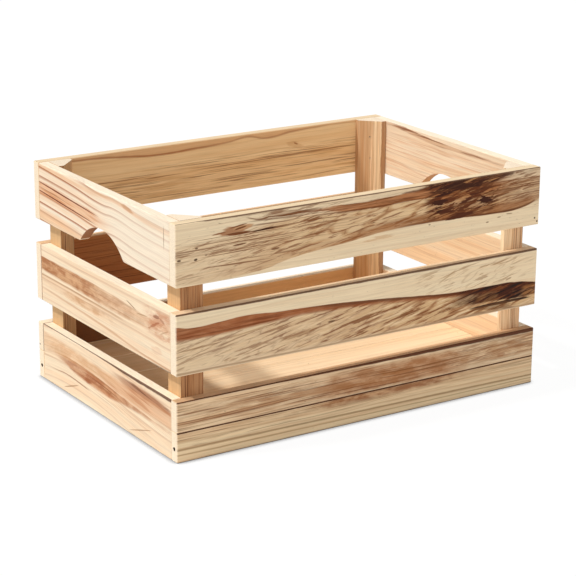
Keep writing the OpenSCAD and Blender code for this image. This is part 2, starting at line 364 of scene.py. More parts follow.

# What is special to each board. Places are in millimetres from the lower left corner of its outer face, u
# to the right and v up. A line runs through points (u, value), or is one number where it is level.
#
# seed: which part of the noise the board's figure is cut from
# pale, warm: its two wood colours; warmth is how much of the second shows, and warm_along is where
# rings: spacing and strength of the growth rings; ring_shift moves them, ring_along is their strength along
#   the board, ring_tone their colour, late the width of their dark edge, and uneven how much they vary
# grain: the line that the grain follows, and wander is how far it strays from it
# flames: tilt in degrees, sizes along, through and across the board, and number of folds of the flames
# pores: strength of the short dark pores
# bands: patches of colour between two lines, top and foot, or up to the board's edge where one isn't given.
#   soft is how far they fade at the two lines, ragged is how far their edges stray, and along is their
#   strength along the board. Each layer is a pattern, a colour and a strength, and the pattern is one of
#   the PATTERNS, or plain, which fills the band
# marks: ellipses, each with u, v, half length, half height, tilt in degrees, strength, raggedness, colour
# arrises: dark lines along an edge, each with v, half width along the board, and strength
# bores: holes along the board, painted dark inside as shade, each with w, v and radius
# rim, sawn: colours of the planed edges, and of the sawn arch of a hand hole, which on the left end is
# painted shade
# inside, whole: bands and marks lie on the inner face, or on all faces; otherwise on the outer face only
BOARDS = {
    "front_board_top": {
        "seed": 2.0, "rim": "#EFD8B4", "warmth": 0.35, "rings": (9.0, 0.16),
        "flames": (13.0, (70, 20, 12), 4.6), "pores": 0.6,
        "bands": [
            # The curly brown sweep, its darker foot, and the line under that
            {"top": [(0, 40), (60, 44), (130, 52), (200, 51), (330, 54), (460, 56)],
             "foot": SWEEP_FOOT, "soft": (8, 1.4), "ragged": 1.5,
             "along": [(0, 0.2), (60, 0.3), (120, 0.7), (200, 0.9), (300, 1), (395, 0.95), (430, 0.55),
                       (460, 0.45)],
             "layers": [("plain", "#C4935F", 0.75), ("blotch", "#A9713F", 0.4), ("hearts", "#EACDA4", 0.7),
                        ("rims", "#7C4825", 0.5), ("cuts", "#E6C698", 0.7), ("strokes", "#7A4522", 0.75)]},
            {"top": [(0, 20), (160, 20), (200, 23), (255, 31), (340, 33), (430, 32), (460, 38)],
             "soft": (8, 1.0), "ragged": 1.5,
             "foot": SWEEP_FOOT,
             "along": [(0, 0), (120, 0.25), (200, 0.6), (290, 0.9), (440, 1), (450, 0.7), (460, 0.3)],
             "layers": [("plain", "#A4683A", 0.75), ("streaks", "#6E3D1D", 0.6)]},
            {"top": [(0, 24.5), (255, 24.5), (340, 25.5), (430, 24), (460, 32)], "soft": (2, 0.8),
             "ragged": 1.0, "foot": [(0, 22.5), (255, 22.5), (340, 23), (390, 21), (430, 21.5), (460, 30)],
             "along": [(0, 0), (240, 0), (290, 0.7), (400, 1), (445, 0.9), (455, 0)],
             "layers": [("plain", "#5A2E14", 0.85)]},
            # The brown heartwood along the top, its streaks, and two thin dark lines
            {"top": [(0, 60), (160, 58), (190, 58), (240, 58), (300, 61), (330, 66), (460, 66)],
             "foot": [(0, 58), (135, 58), (165, 55.4), (200, 51.5), (225, 49.6), (300, 50.5), (340, 45),
                      (400, 42), (460, 44)], "soft": (1.5, 1.5), "ragged": 7.0,
             "along": [(0, 0), (135, 0), (195, 0.95), (330, 1), (390, 0.8), (425, 0.25), (460, 0.15)],
             "layers": [("plain", "#B06F3F", 0.9), ("streaks", "#7C4623", 0.8), ("threads", "#54290F", 0.6),
                        ("cuts", "#D3A070", 0.3)]},
            {"top": [(0, 64), (100, 64), (130, 62), (165, 57.5), (200, 56.5), (250, 58), (300, 62),
                     (460, 62)],
             "foot": [(0, 61), (100, 61.5), (130, 57), (165, 55.5), (200, 55), (250, 56.5), (300, 60),
                      (460, 60)], "soft": (1.5, 2.5), "ragged": 5.0,
             "along": [(0, 0), (90, 0), (115, 0.8), (300, 0.9), (320, 0.2), (460, 0)],
             "layers": [("plain", "#8A5028", 0.5), ("streaks", "#6B3818", 0.9),
                        ("threads", "#54290F", 0.7)]},
            {"top": [(0, 61.6), (80, 61.6), (97, 58), (108, 58.8), (126, 58.4), (160, 60), (460, 60)],
             "foot": [(0, 60.4), (80, 60.4), (97, 56.6), (108, 57.4), (126, 56.6), (160, 57), (460, 58)],
             "soft": (0.8, 0.8), "ragged": 1.6,
             "along": [(0, 0), (76, 0), (86, 0.7), (130, 0.95), (165, 0.6), (185, 0), (460, 0)],
             "layers": [("plain", "#70401F", 0.95)]},
            {"top": [(0, 51), (250, 51.5), (300, 52), (460, 52)],
             "foot": [(0, 49), (250, 50), (300, 50.5), (460, 50)], "soft": (1, 1), "ragged": 1.0,
             "along": [(0, 0), (188, 0), (194, 0.9), (300, 0.7), (330, 0), (460, 0)],
             "layers": [("plain", "#6B3718", 0.85)]},
            # The scorch, darker towards the top edge
            {"top": 68, "foot": [(0, 58), (300, 60), (320, 52), (340, 48), (370, 50), (400, 57), (460, 60)],
             "soft": (2, 5), "ragged": 9.0,
             "along": [(0, 0), (290, 0), (312, 0.95), (330, 1), (388, 1), (408, 0.7), (436, 0.2),
                       (460, 0.15)],
             "layers": [("plain", "#6E3A1C", 0.9), ("char", "#3C1807", 1.0), ("strokes", "#260E04", 0.9),
                        ("threads", "#260E04", 0.7), ("cuts", "#C08A58", 0.85)]},
            {"top": 54, "foot": 26, "soft": (6, 6), "ragged": 8.0,
             "along": [(0, 0), (298, 0), (314, 1), (394, 1), (405, 0.35), (460, 0.2)],
             "layers": [("plain", "#9C6236", 0.5), ("char", "#5E2C10", 1.0), ("strokes", "#341206", 1.0),
                        ("cuts", "#D2A26E", 0.7)]},
            # Fine lines over the middle and along the top of the board
            {"top": [(0, 46), (130, 50), (460, 50)], "foot": [(0, 8), (100, 12), (140, 18), (460, 24)],
             "soft": (6, 6), "ragged": 3.0,
             "along": [(0, 0.8), (60, 1), (150, 0.8), (220, 0.4), (300, 0.3), (350, 0.7), (420, 0.7),
                       (460, 0.8)], "layers": [("threads", "#74421F", 0.8), ("strokes", "#8A5630", 0.45)]},
            {"top": 64, "foot": 46, "soft": (3, 5), "ragged": 3.0,
             "along": [(0, 0), (80, 0.2), (110, 0.8), (180, 0.7), (220, 0.2), (380, 0.3), (410, 0.9),
                       (460, 0.8)], "layers": [("threads", "#6B3A1A", 0.9), ("strokes", "#7A4622", 0.75)]},
        ],
        "marks": [
            (69, 49.8, 21, 5.4, 3, 0.85, 1.6, "#A0663C"), (77, 51.6, 12, 2.8, 6, 0.7, 1.6, "#CC9E72"),
            (73, 54.2, 11, 0.8, 7, 0.9, 1.2, "#74401F"), (74, 51.4, 8, 1.0, 10, 0.9, 1.6, "#6B3A1C"),
            (72, 46.4, 16, 1.4, -1, 0.9, 1.4, "#6B3A1C"), (104, 46.2, 16, 1.1, 2, 0.95, 1.2, "#40200E"),
            (50, 49.2, 9, 0.9, 4, 0.85, 0.8, "#8A5632"), (116, 24, 5, 1.1, 2, 0.8, 1.2, "#6B3A1C"),
            (4, 28, 2.4, 1.2, 0, 0.85, 0.8, "#4A2814"), (324, 42, 8, 8, -12, 1.0, 8.0, "#3C1807"),
            (382, 41, 7, 7, -16, 1.0, 8.0, "#3C1807"), (368, 46, 16, 2, 24, 0.95, 5.0, "#4A1F0A"),
            (330, 32, 12, 2, 16, 0.95, 5.0, "#4E220C"), (352, 26, 24, 2.4, 6, 0.95, 5.0, "#4E220C"),
            (350, 59, 26, 4, 3, 0.9, 7.0, "#351405"), (396, 62, 24, 2.2, 3, 0.7, 2.4, "#4A2412"),
            (400, 45, 30, 3.5, 2, 0.55, 3.0, "#6B3E20"), (440, 52, 22, 1.6, 8, 0.6, 1.6, "#7A4A26"),
            (445, 58, 10, 1.2, 12, 0.6, 1.4, "#7A4A26"), (23, 26.5, 2.2, 1.4, 10, 0.9, 0.8, "#40200E"),
            (73, 34.6, 8, 1.1, 3, 0.9, 1.4, "#6B3A1C"), (24, 38, 2.0, 1.0, 0, 0.8, 0.8, "#4A2814"),
            (35, 29.5, 1.8, 0.9, 0, 0.6, 0.8, "#5E3518"), (247, 17, 15, 3.0, 2, 0.4, 4.0, "#C08A56"),
            (310, 21, 1.6, 0.9, 0, 0.6, 0.6, "#5E3518"), (388, 12.5, 2.4, 1.0, 0, 0.7, 0.8, "#6B4526"),
            (418, 18, 5, 0.8, -4, 0.6, 0.8, "#7A5230"), (404, 16, 2.6, 0.8, 0, 0.6, 0.8, "#7A5230"),
            (454, 8, 1.2, 1.2, 0, 0.95, 0.2, "#2E1A10"), (457.5, 3.8, 1.2, 1.2, 0, 0.9, 0.2, "#2E1A10"),
        ],
        "arrises": [(65, [(0, 0.4), (25, 0.4), (40, 1.3), (130, 1.4), (300, 0.9), (460, 0.8)], 0.85)],
    },
    "front_board_middle": {
        "seed": 5.0, "rim": "#EBCBA6", "warmth": 0.35, "rings": (9.0, 0.14),
        "flames": (16.0, (58, 20, 10), 4.6), "pores": 0.4,
        "bands": [
            # The curly figure
            {**CURLY, "along": [(0, 0.2), (60, 0.25), (150, 0.42), (250, 0.75), (330, 1), (460, 1)],
             "layers": [("plain", "#B78455", 0.85), ("blotch", "#A26C40", 0.4),
                        ("hearts", "#E2C092", 0.7)]},
            {**CURLY, "along": [(0, 0.55), (60, 0.6), (150, 0.8), (220, 0.95), (460, 1)],
             "layers": [("rims", "#7C4A28", 0.4), ("cuts", "#EED2AA", 0.8), ("strokes", "#7C4622", 0.85)]},
            # The brown stripe that sinks to the right, and its dark upper line
            {"top": [(0, 52), (20, 49), (50, 50), (85, 51.4), (115, 49), (150, 47.6), (200, 45), (250, 41),
                     (300, 36), (350, 32), (400, 31.6), (430, 30.5), (460, 26)],
             "foot": [(0, 38), (50, 37), (100, 39), (150, 41), (200, 39), (250, 36), (300, 31), (350, 27),
                      (460, 20)], "soft": (1.0, 4), "ragged": 1.6,
             "along": [(0, 1), (180, 1), (260, 0.75), (320, 0.85), (460, 1)],
             "layers": [("plain", "#A9663C", 0.92), ("blotch", "#96522C", 0.6), ("streaks", "#80431F", 0.6),
                        ("threads", "#6B3516", 0.5)]},
            {"top": [(0, 50), (150, 48), (200, 45), (250, 41), (300, 36), (350, 32), (400, 31.6),
                     (430, 30.5), (460, 26)],
             "foot": [(0, 47), (150, 46), (200, 42), (250, 38), (300, 33.5), (350, 29), (400, 28),
                      (430, 27), (460, 23)], "soft": (0.8, 3), "ragged": 0.8,
             "along": [(0, 0), (140, 0.1), (190, 0.8), (300, 0.9), (460, 1)],
             "layers": [("plain", "#5E3014", 0.9)]},
            # Faint figure above it
            {"top": [(0, 62), (250, 62), (460, 60)],
             "foot": [(0, 36), (250, 40), (320, 36), (380, 34), (460, 36)], "soft": (5, 6), "ragged": 4.0,
             "along": [(0, 0), (270, 0.05), (320, 0.6), (400, 0.75), (440, 0.4), (460, 0.1)],
             "layers": [("rims", "#A47C50", 0.4), ("strokes", "#96683C", 0.75)]},
            # The scorch, the paler flakes in it, and the line along the foot
            {"top": [(0, 31), (330, 31), (350, 31), (400, 31.6), (430, 30.5), (460, 26)],
             "foot": [(0, 14), (340, 14), (400, 14), (436, 12), (460, 14)], "soft": (1, 3), "ragged": 3.0,
             "along": [(0, 0), (320, 0), (350, 0.3), (375, 0.8), (390, 1), (432, 1), (442, 0.8),
                       (460, 0.6)],
             "layers": [("char", "#421A08", 1.0), ("plain", "#421A08", 0.85), ("strokes", "#200B03", 1.0),
                        ("cuts", "#8A4E26", 0.6)]},
            {"top": [(0, 25), (460, 24)], "foot": [(0, 12), (460, 13)], "soft": (3, 3), "ragged": 2.0,
             "along": [(0, 0), (372, 0), (382, 0.5), (398, 0.4), (412, 0.1), (436, 0.0), (446, 0.9),
                       (456, 0.9), (460, 0.4)],
             "layers": [("hearts", "#A8703F", 0.7), ("cuts", "#C48F60", 0.6)]},
            {"top": [(0, 3.6), (200, 3), (460, 2.4)], "foot": [(0, 1.2), (460, 0.8)], "soft": (1.5, 1.5),
             "ragged": 1.0, "layers": [("plain", "#8A5A34", 0.6)]},
        ],
        "marks": [
            (412, 10, 44, 1.9, 0, 0.97, 0.6, "#241008"), (404, 7, 32, 4, 0, 0.6, 2.4, "#6B4426"),
            (384, 43.5, 8, 1.8, 6, 0.5, 3.4, "#8C5E38"), (421, 36, 6, 1.4, 16, 0.6, 1.6, "#8C5E38"),
            (335, 51, 16, 1.2, 28, 0.4, 1.2, "#A47C50"), (186, 27, 5, 1.0, 4, 0.8, 0.8, "#4A2814"),
            (26, 27, 26, 1.1, 3, 0.55, 0.6, "#8C6038"), (90, 34, 30, 1.0, 6, 0.5, 0.8, "#9A6C42"),
            (150, 20, 26, 1.2, 10, 0.5, 0.8, "#8C6038"),
        ],
        "arrises": [(65, [(0, 2.0), (460, 2.6)], 0.9)],
    },
    "front_board_lower": {
        "seed": 8.0, "rim": "#C99E76", "warmth": 0.75, "rings": (5.0, 0.28), "pores": 0.5,
        "bands": [
            {"top": 27, "foot": 2, "soft": (8, 4),
             "along": [(0, 0.1), (150, 0.2), (210, 0.8), (320, 0.9), (380, 0.25), (460, 0.2)],
             "layers": [("plain", "#B4784A", 0.75), ("blotch", "#9C5E32", 0.7)]},
            {"top": 30, "foot": 2, "soft": (4, 4), "along": [(0, 0.8), (200, 0.8), (460, 0.6)],
             "layers": [("streaks", "#9C6436", 0.65), ("threads", "#683818", 0.85)]},
            {"top": 27, "foot": 7, "soft": (4, 4),
             "along": [(0, 0.35), (120, 0.3), (330, 0.3), (380, 0.75), (460, 0.7)],
             "layers": [("blotch", "#AE7C4C", 0.55), ("strokes", "#84502A", 0.6)]},
            {"top": 26, "foot": 14, "soft": (4, 4), "along": [(0, 0), (400, 0.0), (436, 0.7), (460, 0.9)],
             "layers": [("streaks", "#84502C", 0.9)]},
        ],
        "marks": [(415, 9, 7, 2.2, 0, 0.5, 2.0, "#9C623A"), (104, 17, 9, 1.6, 0, 0.4, 2.0, "#9C683E")],
        "arrises": [(33, [(0, 1.2), (200, 2.2), (300, 3.8), (460, 4.4)], 0.97), (0, 1.0, 0.95)],
    },
    "front_board_base": {
        "seed": 11.0, "pale": "#EAD5B0", "warmth": 0.7, "rings": (6.5, 0.3), "pores": 0.4,
        "bores": [(6, 14, 2)],
        "bands": [
            {"top": 34, "foot": 24, "soft": (2, 5),
             "along": [(0, 0.15), (150, 0.25), (200, 0.9), (330, 0.85), (370, 0.2), (460, 0.1)],
             "layers": [("plain", "#B4784A", 0.6), ("blotch", "#8A4E28", 0.8)]},
            {"top": 32, "foot": 16, "soft": (4, 4), "along": [(0, 0.9), (200, 0.6), (460, 0.5)],
             "layers": [("threads", "#744620", 0.75), ("streaks", "#A97848", 0.35)]},
            {"top": [(0, 15), (240, 13), (460, 10.6)], "foot": [(0, 13), (240, 11), (460, 8.8)],
             "soft": (1.2, 1.6), "ragged": 1.2, "layers": [("plain", "#8E6C44", 0.7)]},
            {"top": [(0, 9), (460, 6.5)], "foot": [(0, 7.5), (460, 5.5)], "soft": (1.2, 1.2), "ragged": 1.2,
             "layers": [("plain", "#9C7A50", 0.6)]},
        ],
        # The dark line along its bottom edge is painted shade where it stands on the floor
        "arrises": [(32, 1.0, 0.95), (0, 1.4, 0.8)],
    },
    "left_board_top": {
        # Its sawn colour is painted shade on the cut face of the hand hole's arch, which lies in shadow
        "seed": 14.0, "sawn": "#94572F", "rings": (9.8, 1.0), "ring_shift": 0.47, "wander": 0.8,
        "uneven": 0.5, "pores": 0.1, "warmth": 1.0, "ring_tone": "#A8592A", "late": 3.8, "pale": "#F7EAD6",
        "warm": "#F0C49A", "grain": [(0, 0), (80, -4), (150, -9), (170, -8), (220, -12), (288, -15)],
        "ring_along": [(0, 1), (100, 0.95), (160, 0.6), (210, 0.35), (288, 0.3)],
        "warm_along": [(0, 1), (110, 0.85), (190, 0.12), (288, 0.15)],
        "bands": [
            {"top": [(0, 46), (140, 38), (288, 30)], "foot": [(0, 32), (140, 25), (288, 18)],
             "soft": (6, 6), "along": [(0, 1), (100, 0.9), (150, 0.3), (180, 0), (288, 0)],
             "layers": [("plain", "#EDB78A", 0.6), ("streaks", "#CF8650", 0.8)]},
            {"top": [(0, 64), (110, 62), (190, 62), (230, 58), (288, 56)],
             "foot": [(0, 60), (110, 57), (190, 58), (230, 53), (288, 50)], "soft": (3, 4),
             "along": [(0, 0.5), (100, 0.6), (190, 0.9), (240, 0.7), (288, 0.4)],
             "layers": [("plain", "#E3AC7C", 0.6)]},
        ],
        "marks": [
            (203, 59, 16, 2.8, -8, 0.5, 1.6, "#B97A4A"), (277, 47, 0.8, 13, 0, 0.65, 0.4, "#8C6040"),
            (60, 40.6, 88, 0.9, -3.4, 1.0, 0.3, "#7A3412"), (52, 31.2, 82, 0.9, -3.6, 1.0, 0.3, "#7A3412"),
            (30, 37, 44, 0.7, -3.4, 0.6, 0.3, "#96542B"),
        ],
    },
    "left_board_middle": {
        "seed": 17.0, **LEFT_WOOD, "rings": (11.0, 0.3), "wander": 2.0, "pores": 0.1, "warmth": 0.6,
        "bands": [
            {"top": [(0, 51.5), (170, 50.5), (240, 47), (288, 45)],
             "foot": [(0, 37), (90, 35), (170, 33), (288, 38)], "soft": (2, 4), "ragged": 3.0,
             "along": [(0, 1), (100, 0.9), (150, 0.6), (230, 0.3), (288, 0.1)],
             "layers": [("plain", "#D09C6E", 0.85), ("blotch", "#A4643A", 0.75),
                        ("threads", "#96582F", 0.5)]},
            {"top": [(0, 32), (170, 31), (288, 28)], "foot": [(0, 30.4), (170, 28.6), (288, 26)],
             "soft": (1, 2), "ragged": 1.0, "along": [(0, 0.9), (170, 0.7), (200, 0.2), (288, 0)],
             "layers": [("plain", "#B07A4C", 0.8)]},
            {"top": [(0, 28), (288, 24)], "foot": [(0, 20), (288, 15)], "soft": (4, 4),
             "along": [(0, 0.1), (50, 0.3), (80, 0.9), (130, 0.8), (180, 0.2), (288, 0.0)],
             "layers": [("plain", "#E0AE7E", 0.5), ("blotch", "#C08656", 0.6)]},
            {"top": [(0, 17), (60, 15), (160, 11), (220, 6), (288, 4)],
             "foot": [(0, 15.6), (60, 13), (160, 8.4), (220, 4), (288, 2)], "soft": (1.5, 2), "ragged": 1.5,
             "along": [(0, 0.2), (60, 0.7), (200, 0.7), (288, 0.8)],
             "layers": [("plain", "#C4895A", 0.75)]},
            {"top": 60, "foot": [(0, 34), (288, 30)], "soft": (5, 5),
             "along": [(0, 0), (225, 0), (250, 0.7), (280, 0.8), (288, 0.4)],
             "layers": [("blotch", "#D08C66", 0.75), ("char", "#C07850", 0.35)]},
        ],
        "marks": [
            (256, 43, 14, 1.6, 28, 0.65, 2.0, "#A8603C"), (260, 52.5, 7, 2.0, 10, 0.7, 1.8, "#8A4C30"),
            (272, 51, 5, 1.6, -20, 0.5, 1.8, "#A8603C"), (207, 51, 12, 0.8, -15, 0.7, 0.4, "#8C6040"),
            (230, 46.5, 12, 0.8, 6, 0.6, 0.4, "#A07450"), (276, 40, 10, 1.0, 24, 0.5, 1.0, "#B07850"),
            (260, 16, 12, 5, 10, 0.3, 2.4, "#E0AA84"),
        ],
        "arrises": [(0, [(0, 0.5), (160, 0.8), (288, 2.2)], 0.7)],
    },
    "left_board_lower": {
        "seed": 20.0, **LEFT_WOOD, "rings": (12.0, 0.34), "wander": 1.5, "pores": 0.15, "warmth": 0.65,
        "grain": [(0, 0), (40, 4), (90, 5), (150, 2), (200, -3), (288, -9)],
        "bands": [
            {"top": [(0, 36), (30, 41), (80, 42.5), (120, 41), (190, 35), (250, 31), (288, 30)],
             "foot": [(0, 34), (35, 36), (80, 29), (110, 27), (160, 26), (190, 28), (288, 27)],
             "soft": (1.2, 4), "ragged": 2.5,
             "along": [(0, 0.05), (40, 0.45), (90, 0.8), (160, 0.95), (220, 0.6), (288, 0.2)],
             "layers": [("plain", "#C98C5E", 0.85), ("blotch", "#A05A32", 0.75),
                        ("threads", "#6E381C", 0.75), ("streaks", "#96522C", 0.4)]},
            {"top": [(0, 57), (190, 58), (260, 56), (288, 52)],
             "foot": [(0, 56), (170, 53), (200, 50), (288, 47)], "soft": (4, 3), "ragged": 2.5,
             "along": [(0, 0), (150, 0.05), (190, 0.75), (255, 0.95), (288, 0.3)],
             "layers": [("plain", "#A05E36", 0.85), ("streaks", "#64301A", 0.95)]},
            {"top": [(0, 54), (288, 50)], "foot": [(0, 40), (288, 33)], "soft": (6, 6),
             "along": [(0, 0.1), (120, 0.35), (190, 0.95), (288, 0.75)],
             "layers": [("plain", "#D9A074", 0.7), ("streaks", "#B97448", 0.65)]},
            {"top": [(0, 57), (288, 50)], "foot": [(0, 38), (150, 42), (288, 40)], "soft": (5, 6),
             "along": [(0, 0.4), (60, 0.8), (150, 0.6), (200, 0), (288, 0)],
             "layers": [("plain", "#E6B888", 0.5), ("blotch", "#CC9464", 0.5)]},
            {"top": [(0, 20), (25, 20), (55, 22.6), (108, 20), (288, 10)],
             "foot": [(0, 19), (25, 19), (55, 21.4), (108, 18.6), (288, 9)], "soft": (1, 1), "ragged": 0.8,
             "along": [(0, 0), (20, 0.3), (60, 1), (100, 0.9), (116, 0), (288, 0)],
             "layers": [("plain", "#96582E", 0.8)]},
            {"top": 34, "foot": [(0, 8), (288, 10)], "soft": (5, 5),
             "along": [(0, 0.2), (110, 0.2), (150, 0.9), (230, 0.8), (288, 0.2)],
             "layers": [("threads", "#C08A5C", 0.5)]},
        ],
        "marks": [
            (66, 11, 20, 0.9, 19, 0.65, 0.4, "#9A6A3E"), (223, 11, 28, 0.8, 17, 0.6, 0.4, "#9A6A3E"),
            (106, 29, 7, 3, 0, 0.6, 2.2, "#96542E"),
        ],
        # The dark line along its bottom edge is painted shade where it stands on the floor
        "arrises": [(65, [(0, 0.7), (150, 1.0), (200, 2.6), (288, 3.2)], 0.9), (0, 1.0, 0.7)],
    },
    "back_board_top": {
        "seed": 31.0, "inside": True, **BACK_WOOD, "rings": (13.0, 0.16), "uneven": 2.2, "pores": 0.2,
        "rim": "#EDD5B2",
        "bands": [
            {"top": 66,
             "foot": [(0, 61), (130, 61), (155, 58), (170, 58), (190, 62), (217, 58.6), (308, 54.7),
                      (384, 60), (460, 60)], "soft": (2, 3), "ragged": 2.0,
             "layers": [("plain", "#C98F5E", 0.5)]},
            {"top": [(0, 61.6), (130, 62), (155, 59), (170, 59), (190, 63), (217, 59.8), (269, 57.6),
                     (308, 56), (346, 58.6), (384, 61.5), (460, 61.5)],
             "foot": [(0, 60.4), (130, 60), (155, 56.6), (170, 56.8), (190, 61), (217, 57.6), (269, 55.4),
                      (308, 53.6), (346, 56), (384, 59.4), (460, 60)], "soft": (1.5, 2), "ragged": 2.2,
             "along": [(0, 0.3), (80, 0.5), (130, 0.8), (200, 0.7), (300, 1), (384, 0.9), (460, 0.4)],
             "layers": [("plain", "#96542B", 0.7)]},
            {"top": [(0, 44), (460, 40)], "foot": 4, "soft": (8, 8),
             "layers": [("streaks", "#BC8850", 0.45), ("threads", "#7E4C28", 0.7)]},
        ],
        "marks": [(124, 46, 3.6, 1.2, 24, 0.8, 1.4, "#8E5630"), (126, 45, 12, 4, 10, 0.35, 2.0, "#B9824F")],
    },
    "back_board_middle": {
        "seed": 32.0, "inside": True, **BACK_WOOD, "rings": (12.0, 0.2), "uneven": 2.0, "pores": 0.2,
        "rim": "#EBC49C",
        "bands": [
            {"layers": [("plain", "#D09860", 0.75)]},
            # Painted shadow: the lower part of this inner face is darker where the front top board's shadow
            # falls
            {"top": 34, "soft": (16, 2), "layers": [("plain", "#8A5028", 0.5)]},
            # Painted shade: darker towards the left end, where that end keeps the light off
            {"top": 66, "foot": -2, "along": [(0, 0), (220, 0.1), (300, 0.75), (400, 1), (460, 1)],
             "layers": [("plain", "#96562C", 0.85)]},
            {"top": 60, "foot": 4, "soft": (8, 8),
             "layers": [("streaks", "#8E4E26", 0.35), ("threads", "#4E220C", 0.75)]},
        ],
    },
    "back_board_lower": {
        "seed": 33.0, "inside": True, **BACK_WOOD, "rings": (10.0, 0.25), "uneven": 2.0,
        "bands": [
            {"layers": [("plain", "#CC9866", 0.75)]},
            # Painted shade: darker towards the left end, where that end keeps the light off
            {"along": [(0, 0), (240, 0.1), (320, 0.8), (460, 1)], "layers": [("plain", "#643214", 0.92)]},
        ],
        # A dark dot on its end, drawn with the bores' painted shade, where the board has no bore
        "bores": [(2.5, 6.4, 1.0)],
    },
    "right_board_top": {
        "seed": 41.0, "inside": True, "sawn": "#C98F5C", "warmth": 0.8, "pale": "#FFEFD8",
        "warm": "#FADDBA", "rings": (11.0, 0.16), "uneven": 2.0, "pores": 0.1,
        "bands": [
            {"top": [(0, 59), (117, 59), (155, 60), (194, 62), (224, 65), (288, 68)],
             "foot": [(0, 56.6), (117, 55), (155, 55), (194, 56.6), (224, 60), (288, 64)], "soft": (1, 2),
             "ragged": 3.0, "along": [(0, 0.2), (40, 0.6), (100, 0.8), (230, 0.9), (260, 0.5), (288, 0.1)],
             "layers": [("plain", "#C68C5A", 0.5), ("streaks", "#8A4C28", 0.9)]},
            {"top": 54, "foot": 4, "soft": (8, 8),
             "layers": [("streaks", "#EFC298", 0.5), ("threads", "#D9A274", 0.4)]},
        ],
    },
}
# The hidden and plain boards, which differ only in their seeds from others of their wall
PLAIN = {
    "back": {
        **BACK_WOOD, "rings": (10.0, 0.25), "uneven": 2.0, "bores": [(6, 14, 2)],
    },
    "right": {"warmth": 0.8, "pale": "#FBE6C8", "warm": "#F5CFA4", "rings": (10.0, 0.2), "uneven": 2.0},
}
# The floor is browner towards its left end: painted shade, where the left end keeps the light off it
FLOOR_SHADE_BANDS = [{"along": [(0, 1), (70, 0.9), (115, 0), (434, 0)], "layers": [("plain", "#B98A5C", 0.6)]}]
# The corner posts are seen through the gaps. They are lit and shaded copies of one wood: the right ones,
# which stand in the light, are pale, with painted shade on their faces in shadow, and the left ones, which
# stand in shadow, are brown, painted shade, apart from their outer left faces, which the light falls on
PALE_POST_GRAIN = {"layers": [("streaks", "#D9A878", 0.4), ("threads", "#B07848", 0.45)]}
POSTS = {
    "post_front_left": {
        "rim": "#E2B684",
        "bands": [
            # Painted shade: brown on its front face, which lies in shadow; its lit left face keeps the rim
            # colour
            {"layers": [
                ("plain", "#AA7448", 0.85), ("streaks", "#925A32", 0.45), ("threads", "#5E2E14", 0.85),
            ]},
        ],
    },
    "post_front_right": {
        "whole": True, "pale": "#FFEBC8",
        "bands": [
            PALE_POST_GRAIN,
            # Painted shade: a brown strip on the post's front face, which lies in shadow
            {"top": 13, "soft": (1, 1), "layers": [("plain", "#B97E4E", 0.4), ("threads", "#6E3A1C", 0.7)]},
        ],
    },
    "post_back_left": {
        "whole": True, "rim": "#EAC494",
        "bands": [
            # Painted shade: brown on all faces but the outer left one, which the light falls on and the rim
            # colour keeps pale
            {"layers": [
                ("plain", "#96602F", 0.7), ("streaks", "#84502A", 0.45), ("threads", "#4E2410", 0.85),
            ]},
        ],
    },
    "post_back_right": {
        "whole": True, "pale": "#FFEBC8",
        "bands": [
            PALE_POST_GRAIN,
            # Painted shade: a dark strip on the narrow face that faces the front and lies in shadow
            {"top": 6, "soft": (0.6, 1), "layers": [("plain", "#8E5428", 0.6)]},
            # Painted shadow: the part of the slanted face next to the back wall is darker, where that wall's
            # shadow falls
            {"foot": [(0, 16), (250, 15)], "soft": (1, 4), "layers": [("plain", "#BC8048", 0.6)]},
        ],
    },
}


def dress(node, lie, look):
    """Gives a board of the frame its own piece of pine, laid the way the board lies."""
    low, high = (Vector(corner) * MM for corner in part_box(node))
    x, y, z = high - low
    corner, size = {
        "front": ((low.x, low.y, low.z), (x, z, y)),
        "back": ((high.x, high.y, low.z), (x, z, y)),
        "left": ((low.x, high.y, low.z), (y, z, x)),
        "right": ((high.x, low.y, low.z), (y, z, x)),
        "upright": ((high.x, low.y, low.z), (z, x, y)),
        "flat": ((low.x, low.y, high.z), (x, y, z)),
    }[lie]
    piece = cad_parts[node]
    piece.data.materials.clear()
    piece.data.materials.append(pine("Planed pine, " + node.replace("_", " "), lie, corner, size, look))


class CRATE_OT_long_boards(bpy.types.Operator):
    """Finish the boards of the front and back walls"""
    bl_idname = "crate.long_boards"
    bl_label = "Front and back boards"

    def execute(self, context):
        for side in ("front", "back"):
            for number, level in enumerate(("base", "lower", "middle", "top")):
                node = f"{side}_board_{level}"
                dress(node, side, BOARDS.get(node) or {**PLAIN[side], "seed": 31.0 + number})
        return {"FINISHED"}


class CRATE_OT_end_boards(bpy.types.Operator):
    """Finish the boards of the two ends"""
    bl_idname = "crate.end_boards"
    bl_label = "End boards"

    def execute(self, context):
        for side in ("left", "right"):
            for number, level in enumerate(("lower", "middle", "top")):
                node = f"{side}_board_{level}"
                dress(node, side, BOARDS.get(node) or {**PLAIN[side], "seed": 41.0 + number})
        return {"FINISHED"}


class CRATE_OT_posts(bpy.types.Operator):
    """Finish the four corner posts"""
    bl_idname = "crate.posts"
    bl_label = "Corner posts"

    def execute(self, context):
        for number, (node, own) in enumerate(POSTS.items()):
            dress(node, "upright", {
                "seed": 51.0 + number, "warmth": 0.9, "pale": "#F8DDB6", "warm": "#ECC294",
                "rings": (5.0, 0.35), "uneven": 1.6, "wander": 1.0, "pores": 0.1, **own,
            })
        return {"FINISHED"}


